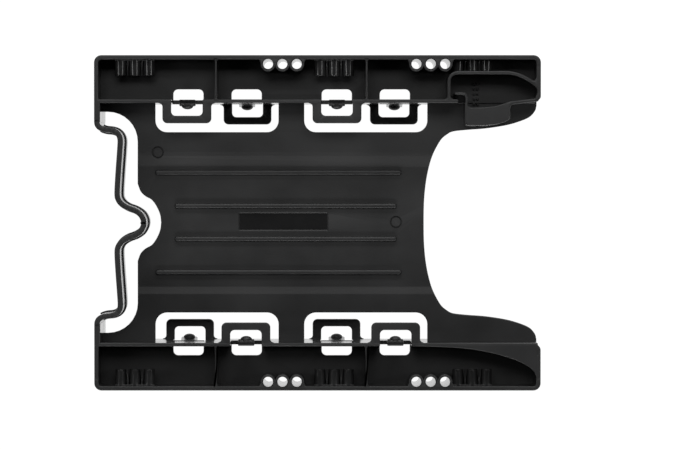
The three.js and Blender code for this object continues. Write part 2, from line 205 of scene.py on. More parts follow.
def anticlockwise(points: Sequence[Point]) -> list[Point]:
    """The outline in anticlockwise order, without repeated points.

    Args:
        points: A closed outline in either order.

    Returns:
        The outline, in order.
    """
    clean: list[Point] = []
    for point in points:
        if not clean or (Vector(point) - Vector(clean[-1])).length > 1e-4:
            clean.append(point)
    if (Vector(clean[0]) - Vector(clean[-1])).length <= 1e-4:
        clean.pop()
    area = sum(a[0] * b[1] - b[0] * a[1] for a, b in zip(clean, clean[1:] + clean[:1]))
    return clean if area > 0 else clean[::-1]


def drawn_in(points: Sequence[Point], distance: float) -> list[Point]:
    """The anticlockwise outline moved inwards by a distance.

    Args:
        points: The anticlockwise outline.
        distance: How far inwards.

    Returns:
        The outline, with as many points as before.
    """
    found: list[Point] = []
    count = len(points)
    for i, here in enumerate(points):
        a = (Vector(here) - Vector(points[i - 1])).normalized()
        b = (Vector(points[(i + 1) % count]) - Vector(here)).normalized()
        normal_a, normal_b = Vector((-a.y, a.x)), Vector((-b.y, b.x))
        shift = (normal_a + normal_b) / max(1 + normal_a.dot(normal_b), 0.35) * distance
        found.append((here[0] + shift.x, here[1] + shift.y))
    return found


# ---- Solids ----


class Axis(Enum):
    """The direction in which an outline is drawn out into a solid."""

    UP = "Z"
    ACROSS = "Y"
    ALONG = "X"

    def spot(self, u: float, v: float, height: float) -> Vector:
        """The point at two coordinates of an outline and a height along this axis.

        Args:
            u: First coordinate in the outline.
            v: Second coordinate in the outline.
            height: Height along the axis.

        Returns:
            The point.
        """
        if self is Axis.UP:
            return Vector((u, v, height))
        if self is Axis.ACROSS:
            return Vector((u, height, v))
        return Vector((height, u, v))


class Operation(Enum):
    """What one solid does to another."""

    JOIN = "UNION"
    CUT = "DIFFERENCE"
    CROSS = "INTERSECT"


@dataclass(frozen=True)
class Level:
    """One level of a solid: its height, and how far its outline is drawn in there."""

    height: float
    inset: float


def rim_levels(low: float, high: float, radius: float, draft: float = 0.0, seam: bool = False) -> list[Level]:
    """Levels of a wall with rounded rims.

    Args:
        low: Lower end.
        high: Upper end.
        radius: Radius of the rims' edges.
        draft: How much each face leans in between mid-height and a rim.
        seam: Whether a parting line runs round at mid-height.

    Returns:
        The levels from low to high.
    """
    steps = 3
    quarter = [math.pi / 2 * i / steps for i in range(steps + 1)]
    rims = [(radius * (1 - math.cos(a)), radius * (1 - math.sin(a))) for a in quarter]
    levels = [Level(low + rise, inset + draft) for rise, inset in rims]
    if seam:
        middle = (low + high) / 2
        levels += [Level(middle - 0.14, 0.0), Level(middle, 0.09), Level(middle + 0.14, 0.0)]
    elif draft:
        levels.append(Level((low + high) / 2, 0.0))
    levels += [Level(high - rise, inset + draft) for rise, inset in reversed(rims)]
    return levels


def round_profile(radius: float, levels: Sequence[Level]) -> list[Point]:
    """The profile of a round peg, closed on its axis at both ends.

    Args:
        radius: The peg's radius.
        levels: Its levels, with the rounding of its ends.

    Returns:
        The profile, to be turned.
    """
    sides = [(radius - level.inset, level.height) for level in levels]
    return [(0.0, levels[0].height), *sides, (0.0, levels[-1].height)]


class Solid:
    """A closed mesh that can be joined and cut while it is built."""

    def __init__(self, mesh: bpy.types.Mesh) -> None:
        """Wraps a closed mesh."""
        self.object = bpy.data.objects.new(mesh.name, mesh)
        bpy.context.scene.collection.objects.link(self.object)

    @classmethod
    def from_bmesh(cls, shape: bmesh.types.BMesh) -> "Solid":
        """A solid of a bmesh in millimetres, which is freed.

        Args:
            shape: The closed bmesh.

        Returns:
            The solid, in metres.
        """
        bmesh.ops.recalc_face_normals(shape, faces=shape.faces)
        bmesh.ops.scale(shape, vec=(MM, MM, MM), verts=shape.verts)
        mesh = bpy.data.meshes.new("solid")
        shape.to_mesh(mesh)
        shape.free()
        return cls(mesh)

    @classmethod
    def loft(cls, outline: Sequence[Point], levels: Sequence[Level], axis: Axis = Axis.UP) -> "Solid":
        """Draws an outline out through levels.

        Args:
            outline: The closed outline; x and y when drawn up, x and z across, y and z along.
            levels: The levels, from the lowest.
            axis: The direction to draw in.

        Returns:
            The solid.
        """
        shape = bmesh.new()
        base = anticlockwise(outline)
        rings = []
        for level in levels:
            points = drawn_in(base, level.inset) if level.inset else base
            rings.append([shape.verts.new(axis.spot(u, v, level.height)) for u, v in points])
        count = len(base)
        for lower, upper in zip(rings, rings[1:]):
            for i in range(count):
                j = (i + 1) % count
                shape.faces.new((lower[i], lower[j], upper[j], upper[i]))
        shape.faces.new(rings[0][::-1])
        shape.faces.new(rings[-1])
        return cls.from_bmesh(shape)

    @classmethod
    def turned(cls, profile: Sequence[Point], place: Vector, axis: Axis, sides: int = 32) -> "Solid":
        """Turns a profile about an axis.

        Args:
            profile: Distances from the axis and heights along it, the first and last on the axis.
            place: Where the axis's zero height is.
            axis: The direction of the axis.
            sides: Facets round the axis.

        Returns:
            The solid.
        """
        shape = bmesh.new()
        poles = []
        rings = []
        for radius, height in profile:
            ring = []
            for i in range(sides if radius > 0 else 1):
                angle = 2 * math.pi * i / sides
                u, v = radius * math.cos(angle), radius * math.sin(angle)
                ring.append(shape.verts.new(place + axis.spot(u, v, height)))
            (rings if radius > 0 else poles).append(ring)
        for lower, upper in zip(rings, rings[1:]):
            for i in range(sides):
                j = (i + 1) % sides
                shape.faces.new((lower[i], lower[j], upper[j], upper[i]))
        for pole, ring in ((poles[0][0], rings[0]), (poles[-1][0], rings[-1])):
            for i in range(sides):
                shape.faces.new((pole, ring[i], ring[(i + 1) % sides]))
        return cls.from_bmesh(shape)

    def combine(self, other: "Solid", operation: Operation) -> "Solid":
        """Joins, cuts or crosses this solid with another.

        Args:
            other: The other solid, which is used up.
            operation: What is done with it.

        Returns:
            This solid.
        """
        modifier = self.object.modifiers.new("combine", "BOOLEAN")
        modifier.operation = operation.value
        modifier.solver = "MANIFOLD"
        modifier.object = other.object
        graph = bpy.context.evaluated_depsgraph_get()
        made = bpy.data.meshes.new_from_object(self.object.evaluated_get(graph))
        self.object.modifiers.clear()
        self.object.data = made
        bpy.data.objects.remove(other.object)
        return self

    def join(self, *others: "Solid") -> "Solid":
        """Adds other solids to this one."""
        for other in others:
            self.combine(other, Operation.JOIN)
        return self

    def cut(self, *others: "Solid") -> "Solid":
        """Takes other solids out of this one."""
        for other in others:
            self.combine(other, Operation.CUT)
        return self

    def cross(self, other: "Solid") -> "Solid":
        """Keeps what this solid shares with another."""
        return self.combine(other, Operation.CROSS)

    def turned_over(self, middle: float) -> "Solid":
        """A copy turned half round about the long axis at mid-height, given in millimetres.

        Args:
            middle: Mid-height.

        Returns:
            The copy.
        """
        mesh = self.object.data.copy()
        centre = Vector((0, 0, middle * MM))
        turn = Matrix.Translation(centre) @ Matrix.Rotation(math.pi, 4, "X") @ Matrix.Translation(-centre)
        mesh.transform(turn)
        return Solid(mesh)

    def finish(self, name: str, finish: "PlasticFinish") -> bpy.types.Object:
        """Names the solid, smooths its rounded edges and dresses it.

        Args:
            name: The piece's name.
            finish: What it is moulded in.

        Returns:
            The piece.
        """
        self.object.name = name
        mesh = self.object.data
        mesh.name = name
        shape = bmesh.new()
        shape.from_mesh(mesh)
        bmesh.ops.triangulate(shape, faces=[face for face in shape.faces if len(face.verts) > 4])
        shape.to_mesh(mesh)
        shape.free()
        mesh.polygons.foreach_set("use_smooth", [True] * len(mesh.polygons))
        mesh.set_sharp_from_angle(angle=SHARP_ANGLE)
        weighted = self.object.modifiers.new("face_weighted_normals", "WEIGHTED_NORMAL")
        weighted.keep_sharp = True
        mesh.materials.clear()
        mesh.materials.append(finish.material())
        mesh.materials.append(SHADED_FLANK.material())
        # Steep faces take the darker copy, painted shade on the sides.
        for face in mesh.polygons:
            face.material_index = 1 if abs(face.normal.z) < FLANK_SLOPE else 0
        return self.object


@dataclass(frozen=True)
class Box:
    """The box of a CAD node, in millimetres."""

    low: Vector
    high: Vector

    @classmethod
    def of(cls, node: str) -> "Box":
        """The box of the named node."""
        low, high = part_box(node)
        return cls(Vector(low) / MM, Vector(high) / MM)

    @property
    def centre(self) -> Vector:
        """The middle of the box."""
        return (self.low + self.high) / 2

    def holds(self, spot: Vector) -> bool:
        """Whether a point is inside the box."""
        return all(low < here < high for low, here, high in zip(self.low, spot, self.high))


# ---- Finishes ----


@dataclass(frozen=True)
class PlasticFinish:
    """Moulded black plastic: its colour, its sheen, the grain of the mould, and a painted highlight that
    lightens its convex edges.
    """

    name: str
    colour: tuple[float, float, float]
    roughness: float
    grain_size: float
    grain_depth: float
    edge_highlight: float

    def material(self) -> bpy.types.Material:
        """The finish as a material, made once.

        Returns:
            The material.
        """
        known = bpy.data.materials.get(self.name)
        if known:
            return known
        material = bpy.data.materials.new(self.name)
        material.use_nodes = True
        tree = material.node_tree
        nodes, links = tree.nodes, tree.links
        shader = nodes["Principled BSDF"]
        shader.inputs["IOR"].default_value = 1.5
        shader.inputs["Specular IOR Level"].default_value = 0.5
        place = nodes.new("ShaderNodeTexCoord").outputs["Object"]

        mottle = nodes.new("ShaderNodeTexNoise")
        mottle.inputs["Scale"].default_value = 70.0
        mottle.inputs["Detail"].default_value = 4.0
        links.new(place, mottle.inputs["Vector"])
        pointiness = nodes.new("ShaderNodeNewGeometry").outputs["Pointiness"]
        # Painted highlight: convex edges, found by pointiness, get a lighter colour.
        painted_edge_highlight = self.ramp(tree, pointiness, (0.52, 0.62), (0.0, self.edge_highlight))
        tint = self.ramp(tree, mottle.outputs["Fac"], (0.3, 0.7), (0.84, 1.2))
        total = nodes.new("ShaderNodeMath")
        total.operation = "ADD"
        links.new(tint, total.inputs[0])
        links.new(painted_edge_highlight, total.inputs[1])
        shade = nodes.new("ShaderNodeVectorMath")
        shade.operation = "SCALE"
        shade.inputs[0].default_value = self.colour
        links.new(total.outputs["Value"], shade.inputs["Scale"])
        links.new(shade.outputs["Vector"], shader.inputs["Base Color"])

        spread = (self.roughness - 0.06, self.roughness + 0.06)
        sheen = self.ramp(tree, mottle.outputs["Fac"], (0.0, 1.0), spread)
        links.new(sheen, shader.inputs["Roughness"])

        grain = nodes.new("ShaderNodeTexNoise")
        grain.inputs["Scale"].default_value = 1.0 / (self.grain_size * MM)
        grain.inputs["Detail"].default_value = 2.0
        links.new(place, grain.inputs["Vector"])
        bump = nodes.new("ShaderNodeBump")
        bump.inputs["Strength"].default_value = 1.0
        bump.inputs["Distance"].default_value = self.grain_depth * MM
        links.new(grain.outputs["Fac"], bump.inputs["Height"])
        links.new(bump.outputs["Normal"], shader.inputs["Normal"])
        return material

    @staticmethod
    def ramp(
        tree: bpy.types.NodeTree,
        value: bpy.types.NodeSocket,
        source: Point,
        target: Point,
    ) -> bpy.types.NodeSocket:
        """Maps a value from one range to another.

        Args:
            tree: The material's nodes.
            value: The socket that gives the value.
            source: Ends of the value's range.
            target: What they become.

        Returns:
            The socket that gives the mapped value.
        """
        node = tree.nodes.new("ShaderNodeMapRange")
        node.inputs["From Min"].default_value, node.inputs["From Max"].default_value = source
        node.inputs["To Min"].default_value, node.inputs["To Max"].default_value = target
        tree.links.new(value, node.inputs["Value"])
        return node.outputs["Result"]


# The last number of each finish is the strength of its painted edge highlight.
MOULDED = PlasticFinish("moulded_black_abs", (0.032, 0.0322, 0.0326), 0.4, 0.5, 0.014, 0.5)
# Painted shade: steep side faces get a darker copy of the moulded colour; their lower roughness is real.
SHADED_FLANK = PlasticFinish("flank_shaded_black_abs", (0.014, 0.0142, 0.0145), 0.16, 0.9, 0.002, 0.5)
GLOSSY = PlasticFinish("glossy_black_abs", (0.034, 0.0342, 0.0346), 0.19, 0.9, 0.003, 0.5)
# Smoother finish of the label panel's floor; its much darker colour is painted shade.
POLISHED_SHADED = PlasticFinish("polished_shaded_black_abs", (0.008, 0.008, 0.0083), 0.3, 0.8, 0.006, 0.0)
FLANK_SLOPE = 0.25


# ---- Shared names and sizes ----


class Side(Enum):
    """The two rails."""

    LEFT = "left"
    RIGHT = "right"


class Half(Enum):
    """The two halves of the bracket, one for each drive."""

    UPPER = "upper"
    LOWER = "lower"

    @property
    def other(self) -> "Half":
        """The half on the plate's other face."""
        return Half.LOWER if self is Half.UPPER else Half.UPPER

    @property
    def sign(self) -> int:
        """Which way the half lies from the plate."""
        return 1 if self is Half.UPPER else -1


class Place(Enum):
    """Places along a rail."""

    REAR = "rear"
    MIDDLE = "middle"
    FRONT = "front"


ENDS = (Place.REAR, Place.FRONT)


def tab_box(half: Half, place: Place) -> Box:
    """The box of a drive tab of the left rail."""
    return Box.of(f"left_{half.value}_drive_tab_{place.value}")


def tube_boxes(side: Side) -> list[Box]:
    """The boxes of a rail's side screw tubes.

    Args:
        side: Which rail.

    Returns:
        The boxes, upper ones first, each half from rear to front.
    """
    return [
        Box.of(f"{side.value}_{half.value}_side_screw_tubes_{place.value}")
        for half in Half
        for place in Place
    ]


@dataclass(frozen=True)
class Section:
    """The bracket's cross-section: where its walls and floors are."""

    height: float
    side: float
    end: float
    wall_inside: float
    near: float
    far: float
    floor_low: float
    floor_high: float
    front_inside: float
    rear_inside: float

    @classmethod
    def from_frame(cls) -> "Section":
        """Reads the section from the CAD nodes.

        Returns:
            The section, in millimetres.
        """
        floor = Box.of("left_channel_floor_middle")
        rib = Box.of("left_channel_rib_rear")
        end_wall = Box.of("left_front_end_wall")
        return cls(
            height=CAD_HIGH[2] / MM,
            side=CAD_HIGH[1] / MM,
            end=CAD_HIGH[0] / MM,
            wall_inside=rib.high.y,
            near=Box.of("left_inner_wall").low.y,
            far=rib.low.y,
            floor_low=floor.low.z,
            floor_high=floor.high.z,
            front_inside=end_wall.low.x,
            rear_inside=Box.of("left_channel_floor_rear").low.x,
        )

    @property
    def middle(self) -> float:
        """Mid-height."""
        return self.height / 2

    def face(self, half: Half) -> float:
        """Height of the plate's face in a half."""
        return self.floor_high if half is Half.UPPER else self.floor_low


RIM = 0.28
DRAFT = 0.1
BITE = 0.5


# ---- Sub-assemblies ----


@dataclass
class Rail:
    """The left rail: two walls, the floor and ribs between them, and its screw bosses and tabs."""

    section: Section
    corner: float = 2.2
    rib_flare: float = 0.7
    floor_window: float = 9.1
    floor_window_far: float = 40.3
    boss_y: float = 47.625
    boss_radius: float = 2.25
    boss_hole: float = 1.5
    screw_pitch: float = 4.3
    tube_radius: float = 1.65
    tube_hole: float = 1.3
    tube_web: float = 0.44
    tube_pad: float = 1.6
    notch_reach: float = 4.7
    free_end: float = 42.2
    tab_gap: float = 4.7
    tab_depth: float = 2.25
    tab_flare: float = 1.0
    tab_corner: float = 1.5
    tab_gap_corner: float = 1.3
    pocket_start: Point = (39.4, 45.0)
    pocket_radius: float = 2.6
    pocket_wall_thickness: float = 1.0
    pocket_nose: tuple[Point, ...] = ((57.4, 45.0), (59.9, 44.45), (62.2, 43.45), (64.0, 42.4), (65.9, 40.95))
    pip_rows: int = 5
    pip_pitch: float = 1.5
    pip_columns: Point = (47.4, 48.45)
    gusset_edge: tuple[Point, ...] = (
        (29.8, 37.0),
        (39.1, 37.3),
        (48.2, 38.2),
        (57.4, 40.4),
        (62.8, 42.8),
        (64.9, 44.6),
    )

    def build(self) -> Solid:
        """The whole rail as one solid.

        Returns:
            The left rail.
        """
        rail = self.outer_wall()
        rail.join(self.inner_wall(), *self.end_walls(), *self.floors())
        rail.join(*self.ribs(), *self.tabs(), *self.base_bosses())
        rail.join(self.pocket_wall(), self.corner_gusset(), *self.pocket_marks())
        rail.join(*self.side_tubes())
        rail.cut(*self.base_holes(), *self.side_holes())
        return rail

    def wall_levels(self) -> list[Level]:
        """Levels of a full-height wall."""
        return rim_levels(0, self.section.height, RIM, DRAFT)

    def outer_wall(self) -> Solid:
        """The outer wall with its two rounded corners.

        Returns:
            The wall.
        """
        s = self.section
        inner = self.corner - (s.side - s.wall_inside)
        back = s.side - 3.6
        outline = rounded(
            [
                (-s.end, back, 0),
                (s.rear_inside, back, 0),
                (s.rear_inside, s.wall_inside, inner),
                (s.front_inside, s.wall_inside, inner),
                (s.front_inside, back, 0),
                (s.end, back, 0),
                (s.end, s.side, self.corner),
                (-s.end, s.side, self.corner),
            ]
        )
        return Solid.loft(outline, rim_levels(0, s.height, RIM, seam=True))

    def inner_wall(self) -> Solid:
        """The bay-side wall with the notches beside the tabs.

        Returns:
            The wall, with its feet.
        """
        s = self.section
        reach = self.notch_reach
        corners: list[tuple[float, float, float]] = [(s.rear_inside - BITE, 0, 0)]
        for place in ENDS:
            x = tab_box(Half.LOWER, place).centre.x
            corners += [
                (x - reach, 0, 0.0),
                (x - reach, s.floor_low, 0.5),
                (x + reach, s.floor_low, 0.5),
                (x + reach, 0, 0.0),
            ]
        corners += [
            (s.front_inside + BITE, 0, 0),
            (s.front_inside + BITE, s.floor_high, 0),
            (self.free_end, s.floor_high, 0.8),
            (self.free_end, s.height, 0.4),
        ]
        for place in reversed(ENDS):
            x = tab_box(Half.UPPER, place).centre.x
            corners += [
                (x + reach, s.height, 0.0),
                (x + reach, s.floor_high, 0.5),
                (x - reach, s.floor_high, 0.5),
                (x - reach, s.height, 0.0),
            ]
        corners.append((s.rear_inside - BITE, s.height, 0))
        wall = Solid.loft(rounded(corners), rim_levels(s.near + 0.15, s.far, RIM), Axis.ACROSS)
        return wall.join(*self.sills())

    def sills(self) -> list[Solid]:
        """The wall's square-edged feet, as thick as the plate, one in each notch.

        Returns:
            The four feet.
        """
        s = self.section
        reach = self.notch_reach
        made = []
        for half in Half:
            for place in ENDS:
                x = tab_box(half, place).centre.x
                strip = oblong((x - reach, s.near), (x + reach, s.far))
                made.append(Solid.loft(strip, rim_levels(s.floor_low, s.floor_high, 0.06)))
        return made

    def end_walls(self) -> list[Solid]:
        """The two end walls of the rail.

        Returns:
            The front and the rear wall.
        """
        s = self.section
        front = rounded(
            [
                (s.front_inside - 0.9, s.near + 0.55, 0.3),
                (s.end - 1.1, s.near + 0.45, 0.9),
                (s.end, s.near + 1.7, 1.4),
                (s.end, s.side - 3.4, 0),
                (s.front_inside, s.side - 3.4, 0),
                (s.front_inside, s.near + 4.6, 0),
                (s.front_inside + 0.35, s.near + 3.6, 1.0),
                (s.front_inside - 0.3, s.near + 1.7, 0.6),
            ]
        )
        thick = s.rear_inside + 0.5
        rear = [
            (-s.end, 30.2),
            (thick, 30.2),
            (thick, s.near + 0.6),
            (s.rear_inside, s.near + 0.6),
            (s.rear_inside, s.side - 3.4),
            (-s.end, s.side - 3.4),
        ]
        levels = rim_levels(0, s.height, RIM, seam=True)
        return [Solid.loft(front, levels), Solid.loft(rear, levels)]

    def floors(self) -> list[Solid]:
        """The channel's floor, whose windows reach in to the inner wall.

        Returns:
            The floor, in one piece.
        """
        s = self.section
        near_corner = (s.rear_inside - BITE, s.far - BITE)
        outline = oblong(near_corner, (s.front_inside + BITE, s.wall_inside + BITE))
        floor = Solid.loft(outline, [Level(s.floor_low, 0), Level(s.floor_high, 0)])
        reach = self.floor_window / 2
        for half in Half:
            for place in ENDS:
                x = tab_box(half, place).centre.x
                window = rounded(
                    [
                        (x - reach, s.far, 0),
                        (x + reach, s.far, 0),
                        (x + reach, self.floor_window_far, 1.4),
                        (x - reach, self.floor_window_far, 1.4),
                    ]
                )
                flare = [Level(s.floor_low - 1, -0.5), Level(s.floor_low + 0.3, 0)]
                flare += [Level(s.floor_high - 0.3, 0), Level(s.floor_high + 1, -0.5)]
                floor.cut(Solid.loft(window, flare))
        return [floor]

    def ribs(self) -> list[Solid]:
        """The two ribs across the channel, flared where they meet the walls.

        Returns:
            The rear and the front rib.
        """
        s = self.section
        flare = self.rib_flare
        made = []
        for place in ENDS:
            box = Box.of(f"left_channel_rib_{place.value}")
            low, high = box.low.x - flare, box.high.x + flare
            outline = [
                (low, s.far - BITE),
                (high, s.far - BITE),
                *arc((high, s.far + flare), flare, -90, -180),
                *arc((high, s.wall_inside - flare), flare, 180, 90),
                (high, s.wall_inside + BITE),
                (low, s.wall_inside + BITE),
                *arc((low, s.wall_inside - flare), flare, 90, 0),
                *arc((low, s.far + flare), flare, 0, -90),
            ]
            made.append(Solid.loft(outline, self.wall_levels()))
        return made

    def tabs(self) -> list[Solid]:
        """The U-shaped tabs that hold a drive down, flared into the rim."""
        return [self.tab(tab_box(half, place)) for half in Half for place in ENDS]

    def tab(self, box: Box) -> Solid:
        """One tab, reaching into the wall's thickness, from the box of its CAD node.

        Args:
            box: The box of the tab's CAD node.

        Returns:
            The tab.
        """
        wall = self.section.near
        x, low, high = box.centre.x, box.low.x, box.high.x
        gap, flare, outer, inner = self.tab_gap, self.tab_flare, self.tab_corner, self.tab_gap_corner
        frame_edge = box.low.y + self.tab_depth
        outline = [
            (low - flare, wall + BITE),
            *arc((low - flare, wall - flare), flare, 90, 0),
            *arc((low + outer, box.low.y + outer), outer, 180, 270),
            *arc((high - outer, box.low.y + outer), outer, 270, 360),
            *arc((high + flare, wall - flare), flare, 180, 90),
            (high + flare, wall + BITE),
            (x + gap, wall + BITE),
            *arc((x + gap - inner, frame_edge + inner), inner, 0, -90),
            *arc((x - gap + inner, frame_edge + inner), inner, 270, 180),
            (x - gap, wall + BITE),
        ]
        return Solid.loft(outline, rim_levels(box.low.z, box.high.z, RIM))

    def base_bosses(self) -> list[Solid]:
        """Full-height screw bosses in threes, with their gussets to the wall.

        Returns:
            The bosses and their gussets.
        """
        s = self.section
        made = []
        for station in self.base_stations():
            reach = self.screw_pitch + self.boss_radius
            gusset = [
                (station - reach, self.boss_y),
                (station + reach, self.boss_y),
                (station + reach + 0.7, s.wall_inside + BITE),
                (station - reach - 0.7, s.wall_inside + BITE),
            ]
            made.append(Solid.loft(gusset, self.wall_levels()))
            for shift in (-self.screw_pitch, 0.0, self.screw_pitch):
                spot = Vector((station + shift, self.boss_y, 0))
                levels = rim_levels(0, s.height, RIM)
                made.append(Solid.turned(round_profile(self.boss_radius, levels), spot, Axis.UP, sides=36))
        return [self.trimmed(boss) for boss in made]

    def trimmed(self, boss: Solid) -> Solid:
        """A boss cut off inside the outer wall.

        Args:
            boss: The whole boss.

        Returns:
            What is left of it.
        """
        s = self.section
        keep = oblong((-s.end, s.far), (s.end, s.side - 0.5))
        return boss.cross(Solid.loft(keep, [Level(-1, 0), Level(s.height + 1, 0)]))

    def base_stations(self) -> list[float]:
        """Where the base screw bosses stand along the rail."""
        return [Box.of(f"left_base_screw_bosses_{place.value}").centre.x for place in ENDS]

    def base_holes(self) -> list[Solid]:
        """Cutters of the base screw holes, with a small lead-in at each rim.

        Returns:
            The six cutters.
        """
        top = self.section.height
        r = self.boss_hole
        profile = [(0.0, -1.0), (r + 0.25, -1.0), (r + 0.25, 0.0), (r, 0.3)]
        profile += [(r, top - 0.3), (r + 0.25, top), (r + 0.25, top + 1), (0.0, top + 1)]
        return [
            Solid.turned(profile, Vector((station + shift, self.boss_y, 0)), Axis.UP, sides=36)
            for station in self.base_stations()
            for shift in (-self.screw_pitch, 0.0, self.screw_pitch)
        ]

    def side_tubes(self) -> list[Solid]:
        """Side screw tubes in threes with thin ribs between them.

        Returns:
            The tubes, the ribs between them, and the pads behind them.
        """
        s = self.section
        far = s.wall_inside + 0.4
        made = []
        for box in tube_boxes(Side.LEFT):
            x, z = box.centre.x, box.centre.z
            profile = round_profile(self.tube_radius, rim_levels(box.low.y, far, 0.3))
            for shift in (-self.screw_pitch, 0.0, self.screw_pitch):
                made.append(Solid.turned(profile, Vector((x + shift, 0, z)), Axis.ACROSS))
            for shift in (-self.screw_pitch / 2, self.screw_pitch / 2):
                low, high = x + shift - self.tube_web / 2, x + shift + self.tube_web / 2
                web = oblong((low, box.low.y), (high, far))
                made.append(Solid.loft(web, rim_levels(z - self.tube_radius + 0.15, z + 0.7, 0.12)))
            pad = oblong((box.low.x, s.wall_inside - 0.2), (box.high.x, far))
            made.append(Solid.loft(pad, rim_levels(z - self.tube_pad, z + self.tube_pad, 0.15)))
        return made

    def side_holes(self) -> list[Solid]:
        """Cutters of the side screw holes, countersunk a little from outside.

        Returns:
            The cutters.
        """
        s = self.section
        r = self.tube_hole
        made = []
        for box in tube_boxes(Side.LEFT):
            start = box.low.y - 1
            profile = [(0.0, start), (r + 0.2, start), (r + 0.2, box.low.y), (r, box.low.y + 0.25)]
            profile += [(r, s.side - 0.3), (r + 0.3, s.side), (r + 0.3, s.side + 1), (0.0, s.side + 1)]
            for shift in (-self.screw_pitch, 0.0, self.screw_pitch):
                spot = Vector((box.centre.x + shift, 0, box.centre.z))
                made.append(Solid.turned(profile, spot, Axis.ACROSS))
        return made

    def pocket_wall(self) -> Solid:
        """The curved wall of the latch pocket, with fillets at both ends.

        Returns:
            The wall.
        """
        s = self.section
        levels = rim_levels(s.floor_high - BITE, s.height, RIM)
        x, y = self.pocket_start
        radius = self.pocket_radius
        line = [(x, s.far - BITE), (x, s.far + 0.6)]
        line += arc((x + radius, y - radius), radius, 180, 90)
        line += smooth(self.pocket_nose, 4)
        wall = Solid.loft(ribbon(line, self.pocket_wall_thickness), levels)
        foot = [
            (x - 2.1, s.far - 0.6),
            (x + 2.1, s.far - 0.6),
            *arc((x + 1.9, s.far + 1.4), 1.5, -90, -180),
            *arc((x - 1.9, s.far + 1.4), 1.5, 0, -90),
        ]
        wall.join(Solid.loft(foot, levels))
        end = s.front_inside
        corner = [
            (end + 0.6, 43.9),
            (end - 0.1, 43.5),
            *smooth([(end - 0.35, 43.0), (end - 0.9, 42.6), (end - 2.2, 42.8)], 3),
            (end - 0.7, 41.2),
            (end + 0.6, 40.3),
        ]
        return wall.join(Solid.loft(corner, levels))

    def pocket_marks(self) -> list[Solid]:
        """Small round pips in two columns on the pocket's floor.

        Returns:
            The pips.
        """
        profile = [(0.0, -0.2), (0.36, -0.2), (0.36, 0.9), (0.2, 1.15), (0.0, 1.2)]
        base = self.section.floor_high - 0.2
        return [
            Solid.turned(profile, Vector((x, 41.8 - self.pip_pitch * row, base)), Axis.UP, sides=12)
            for row in range(self.pip_rows)
            for x in self.pip_columns
        ]

    def corner_gusset(self) -> Solid:
        """The web that closes the channel's lower face behind the far latch.

        Returns:
            The web.
        """
        s = self.section
        box = Box.of("left_lower_corner_gusset")
        outline = smooth(self.gusset_edge, 4) + [
            (s.front_inside, 46.0),
            (s.front_inside + BITE, 46.0),
            (s.front_inside + BITE, s.far - BITE),
            (self.gusset_edge[0][0], s.far - BITE),
        ]
        return Solid.loft(outline, rim_levels(box.low.z, box.high.z, RIM))


